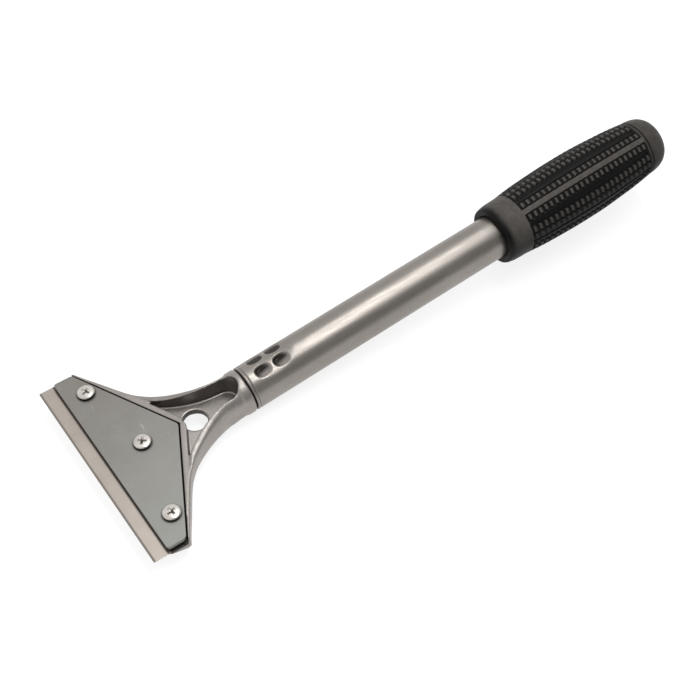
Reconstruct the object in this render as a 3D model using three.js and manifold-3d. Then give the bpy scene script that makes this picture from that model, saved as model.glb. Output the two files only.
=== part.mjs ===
// Long-handled blade scraper: a die-cast head that clamps a steel blade under a plate,
// a crimped steel tube and a moulded grip.
//
// Units are millimetres.  +X runs from the blade to the grip, +Y along the blade,
// +Z out of the clamp plate.  The head lies flat; the handle rises at HANDLE_TILT.

import * as THREE from 'three';
import { mergeVertices } from 'three/addons/utils/BufferGeometryUtils.js';
import Module from 'manifold-3d';

const wasm = await Module();
wasm.setup();

// ---------------------------------------------------------------- driving dimensions

const GAP = 0.3;                       // clearance between neighbouring pieces

const BLADE_LENGTH = 100;              // along Y
const BLADE_DEPTH = 13.8;              // along X; its back edge meets the outer screws
const BLADE_THICKNESS = 0.6;
const BLADE_BEVEL = 1.3;               // ground edge, both faces
const BLADE_BOTTOM = 0.1;
const BLADE_NOTCH_START = 7.6;         // from here back its ends are cut in, under the plate
const BLADE_NOTCH = 1.6;

const PLATE_FRONT = 6.8;               // x of the plate's front edge
const PLATE_HALF = 49;                 // half its length along Y
const PLATE_END = 15.2;                // x where its short ends stop
const PLATE_APEX = 39.9;               // x of its point
const PLATE_CORNER = 1.2;
const PLATE_SLOPE = (PLATE_APEX - PLATE_END) / PLATE_HALF;
const PLATE_EDGE = 0.35;               // rounding of its edges
const PLATE_THICKNESS = 2.1;
const PLATE_BOTTOM = BLADE_BOTTOM + BLADE_THICKNESS + GAP;
const PLATE_TOP = PLATE_BOTTOM + PLATE_THICKNESS;

const SCREW_X = 16;                    // the two outer screws
const SCREW_Y = 36.5;
const SCREW_CENTER_X = 23.1;
const SCREW_HEAD_R = 3.8;
const SCREW_HEAD_H = 1.5;
const SCREW_SHANK_R = 1.85;
const SCREW_TIP = -5.2;                // z of the screw's tip
const SCREW_HOLE_R = 2.2;
const BOSS_R = 4.2;
const BOSS_BOTTOM = -5.6;

const BED_FRONT = 7;                   // casting starts here, under the blade
const BED_BOTTOM = -4.2;
const CASTING_END = 72.2;
const RIM_GAP = 0.65;                  // slot between the plate and the rim behind it
const RIM_WIDTH = 1.9;                 // flat top of that rim
const RIM_DRAFT = 1.5;                 // its foot stands this much further back
const WEB_TOP = -0.6;                  // floor of the head's upper pocket
const WEB_BOTTOM = -3.6;
const HANG_X = 47.6;                   // hanging hole in the web
const HANG_R = 5.35;
const POCKET_R = 6.6;                  // round inner end of the pocket
const POCKET_END = 69.6;
const POCKET_WING = 19;                // half width of the pocket's slanted front

const HANDLE_TILT = THREE.MathUtils.degToRad(5);
const AXIS_X = 0.4;                    // the handle's axis starts here, ahead of the neck
const AXIS_Z = -4.87;
const TUBE_R = 10.2;
const TUBE_WALL = 1.2;
const TUBE_START = 72.5;               // stations along the handle's axis
const TUBE_END = 286;
const NECK_COLLAR_R = 10.25;
const NECK_COLLAR_START = 67;
const SPIGOT_R = TUBE_R - TUBE_WALL - GAP;
const SPIGOT_END = 104;
const CLEAR = 60;                      // cutters reach this far past the part

const DIMPLE_STATIONS = [81.4, 90.6];  // crimps that lock the tube on the spigot
const DIMPLE_ANGLE = THREE.MathUtils.degToRad(22.5);
const DIMPLE_HALF = 4.2;               // half length and half width of one crimp
const DIMPLE_DEPTH = 1.5;
const CRIMP_FLAT = 0.25;               // shallow flat around each group of crimps

const GRIP_START = 207.5;
const GRIP_END = 306.2;
const GRIP_BORE = TUBE_R + GAP;
const GRIP_BORE_END = TUBE_END + GAP;

// ---------------------------------------------------------------- helpers

function toManifold(geometry) {
  const bare = geometry.clone();
  bare.deleteAttribute('normal');
  bare.deleteAttribute('uv');
  const merged = mergeVertices(bare, 1e-4);
  return new wasm.Manifold(new wasm.Mesh({
    numProp: 3,
    vertProperties: new Float32Array(merged.attributes.position.array),
    triVerts: new Uint32Array(merged.index.array),
  }));
}

function toGeometry(manifold) {
  const mesh = manifold.getMesh();
  const geometry = new THREE.BufferGeometry();
  geometry.setAttribute('position', new THREE.BufferAttribute(mesh.vertProperties, 3));
  geometry.setIndex(new THREE.BufferAttribute(mesh.triVerts, 1));
  geometry.computeVertexNormals();
  return geometry;
}

// A prism between two heights from an XY outline.
function prism(shape, low, high) {
  const geometry = new THREE.ExtrudeGeometry(shape, {
    depth: high - low,
    bevelEnabled: false,
    curveSegments: 14,
  });
  geometry.translate(0, 0, low);
  return geometry;
}

function polygon(points) {
  return new THREE.Shape(points.map(([x, y]) => new THREE.Vector2(x, y)));
}

// An upright cylinder between two heights.
function post(x, y, radius, low, high, sides = 32) {
  const geometry = new THREE.CylinderGeometry(radius, radius, high - low, sides);
  geometry.rotateX(Math.PI / 2);
  geometry.translate(x, y, (low + high) / 2);
  return geometry;
}

// Turns a profile of [radius, station] points about the handle's own axis (local +Z).
function turned(profile, sides) {
  const points = profile.map(([r, s]) => new THREE.Vector2(r, s));
  return new THREE.LatheGeometry(points, sides).rotateX(Math.PI / 2);
}

// Skins equal rings of points into one closed solid, with a fan at each end.
function loft(rings) {
  const count = rings[0].length;
  const points = rings.flat();
  const index = [];
  for (let i = 0; i < rings.length - 1; i += 1) {
    for (let j = 0; j < count; j += 1) {
      const a = i * count + j;
      const b = i * count + ((j + 1) % count);
      index.push(a, b, b + count, a, b + count, a + count);
    }
  }
  const last = (rings.length - 1) * count;
  for (let j = 1; j < count - 1; j += 1) {
    index.push(0, j + 1, j);
    index.push(last, last + j, last + j + 1);
  }
  const geometry = new THREE.BufferGeometry();
  geometry.setAttribute('position', new THREE.Float32BufferAttribute(points.flat(), 3));
  geometry.setIndex(index);
  return geometry;
}

// Straight-line reading of a table of [x, value] pairs.
function along(table, x) {
  const next = table.findIndex(([at]) => at >= x);
  if (next <= 0) {
    return next === 0 ? table[0][1] : table[table.length - 1][1];
  }
  const [x0, v0] = table[next - 1];
  const [x1, v1] = table[next];
  return THREE.MathUtils.lerp(v0, v1, (x - x0) / (x1 - x0));
}

// Places a piece drawn about its own +Z axis onto the tilted handle.
function onHandle(geometry) {
  geometry.rotateY(Math.PI / 2 - HANDLE_TILT);
  geometry.translate(AXIS_X, 0, AXIS_Z);
  return geometry;
}

// ---------------------------------------------------------------- clamp plate and blade

// The plate's outline, drawn in from its edges by an inset.
function plateShape(inset) {
  const back = inset * Math.hypot(1, PLATE_SLOPE);
  const corner = PLATE_CORNER;
  const run = corner * PLATE_SLOPE;
  const half = PLATE_HALF - inset;
  const front = PLATE_FRONT + inset;
  const end = PLATE_END + inset * PLATE_SLOPE - back;
  const apex = PLATE_APEX - back;
  const shape = new THREE.Shape();
  shape.moveTo(front, -half);
  shape.lineTo(end - corner, -half);
  shape.quadraticCurveTo(end, -half, end + run, -half + corner);
  shape.lineTo(apex - run, -corner);
  shape.quadraticCurveTo(apex, 0, apex - run, corner);
  shape.lineTo(end + run, half - corner);
  shape.quadraticCurveTo(end, half, end - corner, half);
  shape.lineTo(front, half);
  shape.closePath();
  return shape;
}

const SCREWS = [
  { name: 'screw_left', x: SCREW_X, y: SCREW_Y },
  { name: 'screw_center', x: SCREW_CENTER_X, y: 0 },
  { name: 'screw_right', x: SCREW_X, y: -SCREW_Y },
];

function clampPlate() {
  const shape = plateShape(PLATE_EDGE);
  for (const { x, y } of SCREWS) {
    const radius = SCREW_HOLE_R + PLATE_EDGE;
    shape.holes.push(new THREE.Path().absarc(x, y, radius, 0, Math.PI * 2, true));
  }
  const geometry = new THREE.ExtrudeGeometry(shape, {
    depth: PLATE_THICKNESS - 2 * PLATE_EDGE,
    bevelThickness: PLATE_EDGE,
    bevelSize: PLATE_EDGE,
    bevelSegments: 1,
    curveSegments: 16,
  });
  geometry.translate(0, 0, PLATE_BOTTOM + PLATE_EDGE);
  return geometry;
}

// A flat strip ground from both faces to a fine edge at x = 0, notched at its back corners.
function blade() {
  const half = BLADE_THICKNESS / 2;
  const edge = 0.04;
  const section = polygon([
    [0, edge], [BLADE_BEVEL, half], [BLADE_DEPTH, half],
    [BLADE_DEPTH, -half], [BLADE_BEVEL, -half], [0, -edge],
  ]);
  const geometry = new THREE.ExtrudeGeometry(section, { depth: BLADE_LENGTH, bevelEnabled: false });
  geometry.rotateX(Math.PI / 2);
  geometry.translate(0, BLADE_LENGTH / 2, BLADE_BOTTOM + half);
  let strip = toManifold(geometry);
  for (const side of [-1, 1]) {
    const inner = side * (BLADE_LENGTH / 2 - BLADE_NOTCH);
    const outer = side * CLEAR;
    const notch = polygon([
      [BLADE_NOTCH_START, outer], [BLADE_NOTCH_START, inner],
      [BLADE_DEPTH + 1, inner], [BLADE_DEPTH + 1, outer],
    ]);
    strip = strip.subtract(toManifold(prism(notch, -1, 1 + BLADE_THICKNESS)));
  }
  return toGeometry(strip);
}

// ---------------------------------------------------------------- screws

// Pan head with a cross recess, drawn with its axis on local +Z.
function panHeadScrew() {
  const under = PLATE_TOP + GAP;
  const top = under + SCREW_HEAD_H;
  const tip = 0.6;
  const profile = [
    [0, SCREW_TIP],
    [SCREW_SHANK_R - tip, SCREW_TIP],
    [SCREW_SHANK_R, SCREW_TIP + tip],
    [SCREW_SHANK_R, under],
    [SCREW_HEAD_R - 0.15, under],
    [SCREW_HEAD_R, under + 0.2],
    [SCREW_HEAD_R, under + 0.6],
    [SCREW_HEAD_R - 0.35, under + 1],
    [SCREW_HEAD_R - 1.1, top - 0.15],
    [SCREW_HEAD_R - 2.2, top - 0.02],
    [0, top],
  ];
  let screw = toManifold(turned(profile, 32));
  const wing = 2.05;
  for (const turn of [0, Math.PI / 2]) {
    const slot = new THREE.CylinderGeometry(wing, wing * 0.45, 1.6, 4, 1);
    slot.rotateX(Math.PI / 2);
    slot.rotateZ(Math.PI / 4);
    slot.scale(1.41, 0.44, 1);
    slot.rotateZ(turn);
    slot.translate(0, 0, top - 0.6);
    screw = screw.subtract(toManifold(slot));
  }
  return toGeometry(screw);
}

// ---------------------------------------------------------------- handle tube

// How far the tube's wall is pressed in at a station and an angle from +Z.
function crimp(station, angle) {
  let depth = 0;
  const side = Math.abs(Math.atan2(Math.sin(angle), Math.cos(angle)));
  const group = Math.min(side, Math.PI - side);
  const middle = (DIMPLE_STATIONS[0] + DIMPLE_STATIONS[1]) / 2;
  const flat = Math.hypot((station - middle) / 11.5, (group * TUBE_R) / 9);
  depth += CRIMP_FLAT * THREE.MathUtils.smoothstep(1 - flat, 0, 0.5);
  for (const at of DIMPLE_STATIONS) {
    const reach = Math.hypot(station - at, (group - DIMPLE_ANGLE) * TUBE_R) / DIMPLE_HALF;
    depth += (DIMPLE_DEPTH - CRIMP_FLAT) * THREE.MathUtils.smoothstep(1 - reach, 0, 0.85);
  }
  return depth;
}

function crimpedRing(radius, station) {
  const sides = 64;
  const ring = [];
  for (let j = 0; j < sides; j += 1) {
    const angle = (j / sides) * Math.PI * 2;
    const r = radius - crimp(station, angle);
    ring.push([-r * Math.cos(angle), -r * Math.sin(angle), station]);
  }
  return ring;
}

// Stations of the rings: plain ends, close steps through the crimps.
function ringStations(start, end) {
  const first = DIMPLE_STATIONS[0] - 5.2;
  const last = DIMPLE_STATIONS[1] + 5.2;
  const steps = 16;
  const middle = Array.from({ length: steps + 1 }, (_, i) => first + ((last - first) * i) / steps);
  return [start, ...middle, end];
}

function crimpedBar(radius, start, end) {
  return loft(ringStations(start, end).map((station) => crimpedRing(radius, station)));
}

function handleTube() {
  const outer = toManifold(crimpedBar(TUBE_R, TUBE_START, TUBE_END));
  const inner = toManifold(crimpedBar(TUBE_R - TUBE_WALL, TUBE_START - 1, TUBE_END + 1));
  return onHandle(toGeometry(outer.subtract(inner)));
}

// ---------------------------------------------------------------- head casting

// Outer skin of the casting against x: half width, height above and below the handle's
// plane, and squareness of the section.  The wing's edge runs straight beside the plate,
// then curves in to the neck.
const HALF_WIDTH = [
  [BED_FRONT, 50.1], [8, 50.3], [16.2, 50.3], [17, 48.9], [18.4, 46.3], [24, 37.3], [29, 28.9],
  [31.5, 25.3], [34, 22.4], [37, 19.6], [40.5, 17.1], [44.5, 14.7], [48.5, 12.8], [53, 11.2],
  [57, 10.2], [60, 9.7], [CASTING_END, 9.7],
];
const TOP_HEIGHT = [
  [BED_FRONT, 3.1], [24, 3.2], [31, 3.4], [36, 4.1], [41.5, 5], [47, 6.4], [52, 7.8], [58, 9.3],
  [CASTING_END, 11.1],
];
const BOTTOM_HEIGHT = [
  [BED_FRONT, -1], [11, -2.5], [15.5, -4], [26, BED_BOTTOM], [36, -5.2], [46, -7], [56, -8.7],
  [62, -9.2], [CASTING_END, -8.4],
];
const SQUARENESS = [
  [BED_FRONT, 20], [24, 14], [30, 11], [36, 8], [41.5, 6], [47, 4.6], [52, 3.4], [58, 2.6],
  [65, 2.1], [CASTING_END, 2],
];

// A rounded-box section whose points sit evenly on its four sides.
function castingSection(x) {
  const half = along(HALF_WIDTH, x);
  const high = along(TOP_HEIGHT, x);
  const low = along(BOTTOM_HEIGHT, x);
  const power = 2 / along(SQUARENESS, x);
  const middle = (high + low) / 2;
  const reach = (high - low) / 2;
  const sides = 44;
  const ring = [];
  for (let j = 0; j < sides; j += 1) {
    const angle = ((j + 0.5) / sides) * Math.PI * 2;
    const c = Math.cos(angle);
    const s = Math.sin(angle);
    const y = half * Math.sign(c) * Math.abs(c) ** power;
    ring.push([x, y, middle + reach * Math.sign(s) * Math.abs(s) ** power]);
  }
  return ring;
}

function castingSkin() {
  const steps = 34;
  const rings = [];
  for (let i = 0; i <= steps; i += 1) {
    const t = i / steps;
    const eased = 0.62 * t + 0.38 * t * t;
    rings.push(castingSection(THREE.MathUtils.lerp(BED_FRONT, CASTING_END, eased)));
  }
  return loft(rings);
}

// The pocket's outline: a slanted front behind the rim, curved flanks, a round end.
function pocketShape(inset) {
  const rim = RIM_GAP + RIM_WIDTH + inset;
  const front = PLATE_APEX + rim * Math.hypot(1, PLATE_SLOPE);
  const radius = POCKET_R - inset;
  const centre = POCKET_END - POCKET_R;
  const wing = POCKET_WING - 1.6 * inset;
  const wingX = front - wing * PLATE_SLOPE;
  const flank = { x: 42, y: 11.5 - inset };
  const throat = { x: 52, y: radius + 0.4 };
  const shape = new THREE.Shape();
  shape.moveTo(front, 0);
  shape.lineTo(wingX, wing);
  shape.bezierCurveTo(flank.x, flank.y, throat.x, throat.y, centre, radius);
  shape.absarc(centre, 0, radius, Math.PI / 2, -Math.PI / 2, true);
  shape.bezierCurveTo(throat.x, -throat.y, flank.x, -flank.y, wingX, -wing);
  shape.closePath();
  return shape;
}

// Everything ahead of a V-shaped line parallel to the plate's back edges.
function aheadOfRim(offset) {
  const apex = PLATE_APEX + offset * Math.hypot(1, PLATE_SLOPE);
  const wingX = apex - CLEAR * PLATE_SLOPE;
  return polygon([
    [-CLEAR, -CLEAR], [wingX, -CLEAR], [apex, 0], [wingX, CLEAR], [-CLEAR, CLEAR],
  ]);
}

// The raised ring against which the tube's end stops.
function neckCollar() {
  const end = TUBE_START - GAP;
  return turned([
    [0, NECK_COLLAR_START], [NECK_COLLAR_R - 1, NECK_COLLAR_START],
    [NECK_COLLAR_R - 0.3, NECK_COLLAR_START + 0.5], [NECK_COLLAR_R, NECK_COLLAR_START + 1.2],
    [NECK_COLLAR_R, end - 0.8], [NECK_COLLAR_R - 0.7, end], [0, end],
  ], 48);
}

// All that lies round the spigot beyond the collar.
function roundSpigot() {
  const end = TUBE_START - GAP;
  const block = toManifold(onHandle(post(0, 0, TUBE_R + 4, end, SPIGOT_END + 5)));
  const core = toManifold(onHandle(post(0, 0, SPIGOT_R + 0.02, end - 2, SPIGOT_END + 6)));
  return block.subtract(core);
}

function headCasting() {
  const spigot = onHandle(crimpedBar(SPIGOT_R, NECK_COLLAR_START + 2, SPIGOT_END));
  const bladeSeat = polygon([
    [-CLEAR, -CLEAR], [BLADE_DEPTH + GAP, -CLEAR], [BLADE_DEPTH + GAP, CLEAR], [-CLEAR, CLEAR],
  ]);
  const added = [onHandle(neckCollar()), spigot];
  const removed = [
    prism(aheadOfRim(RIM_GAP + RIM_WIDTH + RIM_DRAFT), PLATE_TOP, CLEAR),
    prism(aheadOfRim(RIM_GAP), PLATE_BOTTOM - GAP, CLEAR),
    prism(bladeSeat, BLADE_BOTTOM - GAP, CLEAR),
    prism(pocketShape(RIM_DRAFT * 0.5), WEB_TOP, CLEAR),
    prism(pocketShape(RIM_DRAFT), -CLEAR, WEB_BOTTOM),
    post(HANG_X, 0, HANG_R, -CLEAR, CLEAR, 40),
  ];
  let body = toManifold(castingSkin());
  for (const piece of added) {
    body = body.add(toManifold(piece));
  }
  body = body.subtract(roundSpigot());
  for (const piece of removed) {
    body = body.subtract(toManifold(piece));
  }
  for (const { x, y } of SCREWS) {
    const boss = post(x, y, BOSS_R, BOSS_BOTTOM, BED_BOTTOM + 0.5, 28);
    const hole = post(x, y, SCREW_HOLE_R, BOSS_BOTTOM - 1, CLEAR, 28);
    body = body.add(toManifold(boss)).subtract(toManifold(hole));
  }
  return toGeometry(body);
}

// ---------------------------------------------------------------- grip

// Half profile of the moulded sleeve: [radius, station along the handle].
const GRIP_COLLAR = [
  [12.6, GRIP_START], [13.4, GRIP_START + 0.4], [13.9, GRIP_START + 1.5],
  [14.6, GRIP_START + 11],
];
const GRIP_BARREL = [
  [15.25, 224], [15.6, 229], [15.85, 234], [16.1, 240], [16.3, 246], [16.4, 254],
  [16.3, 263], [15.95, 271], [15.6, 276.5], [15.25, 282], [14.8, 287], [14.2, 292],
];
const GRIP_TAIL = [
  [13.2, 293.2], [13.2, 294.6], [13.85, 295.2], [13.65, 297.8], [13.1, 300.4], [12, 302.7],
  [10.2, 304.5], [7.5, 305.6], [4, 306.1],
];

function grip() {
  const profile = [
    [0, GRIP_BORE_END],
    [GRIP_BORE, GRIP_BORE_END],
    [GRIP_BORE, GRIP_START],
    ...GRIP_COLLAR,
    ...GRIP_BARREL,
    ...GRIP_TAIL,
    [0, GRIP_END],
  ];
  return onHandle(turned(profile, 48));
}

// ---------------------------------------------------------------- assembly

function finish(color, roughness, metalness) {
  return new THREE.MeshStandardMaterial({ color, roughness, metalness });
}

function node(name, geometry, material) {
  const mesh = new THREE.Mesh(geometry, material);
  mesh.name = name;
  return mesh;
}

const scraper = new THREE.Group();
scraper.add(node('head_casting', headCasting(), finish(0x9c9792, 0.5, 0.9)));
scraper.add(node('blade', blade(), finish(0xc3b8ac, 0.32, 1)));
scraper.add(node('clamp_plate', clampPlate(), finish(0x9a9c97, 0.42, 0.9)));
for (const { name, x, y } of SCREWS) {
  const screw = node(name, panHeadScrew(), finish(0xd9d6cf, 0.25, 1));
  screw.position.set(x, y, 0);
  scraper.add(screw);
}
scraper.add(node('handle_tube', handleTube(), finish(0xbdb7ae, 0.28, 1)));
scraper.add(node('grip', grip(), finish(0x1b1a19, 0.7, 0)));

// The origin is the middle of the bounding box in plan, at its lowest point.
const box = new THREE.Box3().setFromObject(scraper);
scraper.position.set(-(box.min.x + box.max.x) / 2, 0, -box.min.z);

export default scraper;
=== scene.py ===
# %% [markdown]
# # A long-handled blade scraper
# The object is a hand tool: a straight steel blade is held under a screwed plate on a die-cast
# head, and a crimped steel tube joins the head to a ribbed black grip.
# The frame below is the finished mechanical model.  We never move it.  We dress each of its
# solids with a finer mesh and a finish of its own, and every new mesh rides on the same body.

# %% Load the frame
import math

import bmesh
import bpy
import numpy as np
from mathutils import Matrix, Vector


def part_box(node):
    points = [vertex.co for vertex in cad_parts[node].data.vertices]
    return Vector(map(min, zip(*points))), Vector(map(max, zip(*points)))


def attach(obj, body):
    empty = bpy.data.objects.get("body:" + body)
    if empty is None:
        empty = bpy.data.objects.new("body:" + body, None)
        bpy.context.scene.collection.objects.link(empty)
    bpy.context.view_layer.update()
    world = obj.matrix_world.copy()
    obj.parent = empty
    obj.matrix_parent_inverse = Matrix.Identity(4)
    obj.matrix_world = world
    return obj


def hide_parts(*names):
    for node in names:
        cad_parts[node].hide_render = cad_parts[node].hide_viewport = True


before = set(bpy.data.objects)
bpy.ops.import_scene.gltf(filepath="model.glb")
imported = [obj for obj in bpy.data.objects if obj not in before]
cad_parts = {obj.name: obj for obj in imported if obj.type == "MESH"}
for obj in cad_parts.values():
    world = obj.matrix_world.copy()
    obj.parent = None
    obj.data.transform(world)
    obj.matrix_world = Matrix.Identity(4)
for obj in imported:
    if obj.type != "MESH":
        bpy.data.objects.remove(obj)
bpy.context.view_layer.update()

# %% [markdown]
# ## A maker's coordinates
# The head is easiest to think of in millimetres from the blade's cutting edge, so the meshes are
# drawn that way and then moved into the frame.  The handle leaves the head at a small tilt, so a
# second helper turns "distance along the handle, angle round it" into a point.

# %% Places and sizes, in millimetres
MM = 0.001
BLADE_BOTTOM = 0.1
blade_low, blade_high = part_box("blade")
edge_x = blade_low.x / MM
floor_to_blade = blade_low.z / MM - BLADE_BOTTOM

TILT = math.radians(5)
AXIS_START = np.array([0.4, 0.0, -4.87])
AXIS_ALONG = np.array([math.cos(TILT), 0.0, math.sin(TILT)])
AXIS_UP = np.array([-math.sin(TILT), 0.0, math.cos(TILT)])
TUBE_RADIUS = 10.2
TUBE_START = 72.5
TUBE_END = 286.0
GRIP_START = 207.5

PLATE_FRONT = 6.8
PLATE_HALF = 49.0   # half its length along the blade
PLATE_END = 15.2    # how far back its short ends reach
PLATE_APEX = 39.9   # its rearmost point, on the middle line
PLATE_BOTTOM = 1.0
PLATE_TOP = 3.1
HANG_HOLE = (47.6, 5.35)  # centre behind the edge, and radius
SCREWS = {"left_screw": (16.0, 36.5), "middle_screw": (23.1, 0.0), "right_screw": (16.0, -36.5)}


def to_frame(points):
    """Head millimetres to frame metres."""
    return (np.asarray(points, float) + [edge_x, 0.0, floor_to_blade]) * MM


def to_head(points):
    """Frame metres back to head millimetres."""
    return np.asarray(points, float) / MM - [edge_x, 0.0, floor_to_blade]


def around_handle(along, angle, radius):
    """Points round the handle: angle 0 is up, and it grows towards -Y."""
    along, angle, radius = np.broadcast_arrays(along, angle, radius)
    side = -radius * np.sin(angle)
    rise = radius * np.cos(angle)
    points = AXIS_START + along[..., None] * AXIS_ALONG + rise[..., None] * AXIS_UP
    points[..., 1] += side
    return points


print("blade edge at x =", round(edge_x, 2), "mm")
print("handle tilt", round(math.degrees(TILT), 1), "degrees")

# %% [markdown]
# ## Camera
# A moderate lens stands about half a metre away, above and in front of the blade's right end.
# The near head then looks a little larger than the far grip, which gives the tool its depth.

# %% Camera
CAMERA_AZIMUTH = math.radians(-33.96)
CAMERA_HEIGHT = math.radians(50.36)
CAMERA_ROLL = math.radians(-1.6)
CAMERA_DISTANCE = 525.7
FOCAL_LENGTH = 61.74
AIM = np.array([121.8, -7.5, 0.0])

camera_data = bpy.data.cameras.new("camera")
camera_data.sensor_width = 36.0
camera_data.lens = FOCAL_LENGTH
camera = bpy.data.objects.new("camera", camera_data)
bpy.context.scene.collection.objects.link(camera)
bpy.context.scene.camera = camera

back = Vector((
    math.sin(CAMERA_AZIMUTH) * math.cos(CAMERA_HEIGHT),
    -math.cos(CAMERA_AZIMUTH) * math.cos(CAMERA_HEIGHT),
    math.sin(CAMERA_HEIGHT),
))
level = Vector((math.cos(CAMERA_AZIMUTH), math.sin(CAMERA_AZIMUTH), 0.0))
upright = back.cross(level)
right = level * math.cos(CAMERA_ROLL) + upright * math.sin(CAMERA_ROLL)
up = upright * math.cos(CAMERA_ROLL) - level * math.sin(CAMERA_ROLL)
spot = Vector(to_frame(AIM)) + back * CAMERA_DISTANCE * MM
camera.matrix_world = Matrix((
    (right.x, up.x, back.x, spot.x),
    (right.y, up.y, back.y, spot.y),
    (right.z, up.z, back.z, spot.z),
    (0.0, 0.0, 0.0, 1.0),
))
print("camera stands at", [round(v, 3) for v in spot])

# %% [markdown]
# ## Small helpers for meshes
# A surface made of rows of points is the simplest way to draw turned and pressed metal: one
# function stitches the rows into quads, and another puts the mesh in the scene on its body.

# %% Mesh helpers
def add_piece(name, mesh, body, slot_name, *nodes):
    """Puts a mesh in the scene on its body, in place of the frame's solids."""
    piece = bpy.data.objects.new(name, mesh)
    bpy.context.scene.collection.objects.link(piece)
    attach(piece, body)
    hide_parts(*nodes)
    return piece


def grid_faces(rows, columns):
    """Quads between rows of points that each close on themselves."""
    i, j = np.meshgrid(np.arange(rows - 1), np.arange(columns), indexing="ij")
    k = (j + 1) % columns
    corners = [i * columns + j, i * columns + k, (i + 1) * columns + k, (i + 1) * columns + j]
    return np.stack([c.ravel() for c in corners], axis=1)


def face_outwards(mesh):
    """Turns every face's front to the outside."""
    work = bmesh.new()
    work.from_mesh(mesh)
    bmesh.ops.recalc_face_normals(work, faces=work.faces)
    work.to_mesh(mesh)
    work.free()


def mesh_from(name, points, faces, smooth=True):
    """A mesh from lists of points and faces, with its faces turned outwards."""
    mesh = bpy.data.meshes.new(name)
    mesh.from_pydata([tuple(p) for p in points], [], [tuple(int(v) for v in f) for f in faces])
    mesh.validate()
    face_outwards(mesh)
    mesh.polygons.foreach_set("use_smooth", [smooth] * len(mesh.polygons))
    return mesh


def settle(piece):
    """Applies a piece's modifiers, so that its mesh is final."""
    bpy.context.view_layer.update()
    graph = bpy.context.evaluated_depsgraph_get()
    made = bpy.data.meshes.new_from_object(piece.evaluated_get(graph))
    piece.modifiers.clear()
    old = piece.data
    piece.data = made
    bpy.data.meshes.remove(old)


def soft_step(value, low, high):
    """0 below low, 1 above high, and a smooth rise between them."""
    t = np.clip((value - low) / (high - low), 0.0, 1.0)
    return t * t * (3.0 - 2.0 * t)


def read_points(mesh, what="co"):
    """Every vertex's place, or its normal, as rows of three numbers."""
    values = np.empty(3 * len(mesh.vertices))
    mesh.vertices.foreach_get(what, values)
    return values.reshape(-1, 3)


def store(mesh, name, values):
    """One number per vertex, which a finish can read by name."""
    layer = mesh.attributes.new(name, "FLOAT", "POINT")
    layer.data.foreach_set("value", np.asarray(values, np.float32).ravel())


# %% [markdown]
# ## Small helpers for finishes
# Metal and rubber look real through small differences: colour that drifts, roughness that is
# uneven, and fine relief.  Each finish below is built from the same few noise nodes at its own
# scale, so a helper adds a node and links it in one line.

# %% Finish helpers
def new_finish(name):
    """A new finish, with its node tree, its shader, and places on the object in metres."""
    finish = bpy.data.materials.new(name)
    finish.use_nodes = True
    tree = finish.node_tree
    shader = tree.nodes["Principled BSDF"]
    place = tree.nodes.new("ShaderNodeTexCoord")
    return finish, tree, shader, place.outputs["Object"]


def stretched(tree, place, scale, turn=(0.0, 0.0, 0.0)):
    """Coordinates stretched by a scale on each axis, for grain that runs one way."""
    mapping = tree.nodes.new("ShaderNodeMapping")
    mapping.inputs["Rotation"].default_value = turn
    mapping.inputs["Scale"].default_value = scale
    tree.links.new(place, mapping.inputs["Vector"])
    return mapping.outputs["Vector"]


def noise(tree, place, scale, detail=4.0, roughness=0.55):
    """Cloudy noise: a large scale gives fine grain, and detail adds smaller and smaller grain."""
    node = tree.nodes.new("ShaderNodeTexNoise")
    node.inputs["Scale"].default_value = scale
    node.inputs["Detail"].default_value = detail
    node.inputs["Roughness"].default_value = roughness
    tree.links.new(place, node.inputs["Vector"])
    return node.outputs["Fac"]


def connect(tree, value, socket):
    """Links another node's output, or sets a plain value."""
    if isinstance(value, bpy.types.NodeSocket):
        tree.links.new(value, socket)
    else:
        socket.default_value = value


def ramp(tree, value, stops):
    """A colour or grey read from a value: stops are (position, colour)."""
    node = tree.nodes.new("ShaderNodeValToRGB")
    line = node.color_ramp
    while len(line.elements) < len(stops):
        line.elements.new(0.5)
    for element, (position, colour) in zip(line.elements, stops):
        element.position = position
        element.color = (*colour, 1.0) if len(colour) == 3 else (colour[0],) * 3 + (1.0,)
    tree.links.new(value, node.inputs["Fac"])
    return node.outputs["Color"]


def mixed(tree, factor, first, second, how="MIX"):
    """Two colours mixed: each input may be a plain value or another node's output."""
    node = tree.nodes.new("ShaderNodeMix")
    node.data_type = "RGBA"
    node.blend_type = how
    for value, number in ((factor, 0), (first, 6), (second, 7)):
        connect(tree, value, node.inputs[number])
    return node.outputs[2]


def sum_of(tree, how, *values):
    """One step of arithmetic on values or on other nodes' outputs."""
    node = tree.nodes.new("ShaderNodeMath")
    node.operation = how
    for value, socket in zip(values, node.inputs):
        connect(tree, value, socket)
    return node.outputs["Value"]


def part_of(tree, place, axis):
    """One of the three numbers of a place: X, Y or Z."""
    node = tree.nodes.new("ShaderNodeSeparateXYZ")
    tree.links.new(place, node.inputs["Vector"])
    return node.outputs[axis]


def stored(tree, name):
    """A number stored on the mesh's vertices."""
    node = tree.nodes.new("ShaderNodeAttribute")
    node.attribute_name = name
    return node.outputs["Fac"]


def shade_painted(tree, colour, dim):
    """Painted shade in corners and hollows: the mesh stores where, and the colour is dimmed there."""
    dimmed = mixed(tree, 1.0, colour, (dim, dim, dim, 1.0), "MULTIPLY")
    return mixed(tree, stored(tree, "painted_shade"), colour, dimmed)


def relief(tree, height, strength, distance, over=None):
    """Fine bumps from a noise, up to a distance in metres, laid over other bumps if given."""
    node = tree.nodes.new("ShaderNodeBump")
    node.inputs["Strength"].default_value = strength
    node.inputs["Distance"].default_value = distance
    tree.links.new(height, node.inputs["Height"])
    if over is not None:
        tree.links.new(over, node.inputs["Normal"])
    return node.outputs["Normal"]


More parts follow.
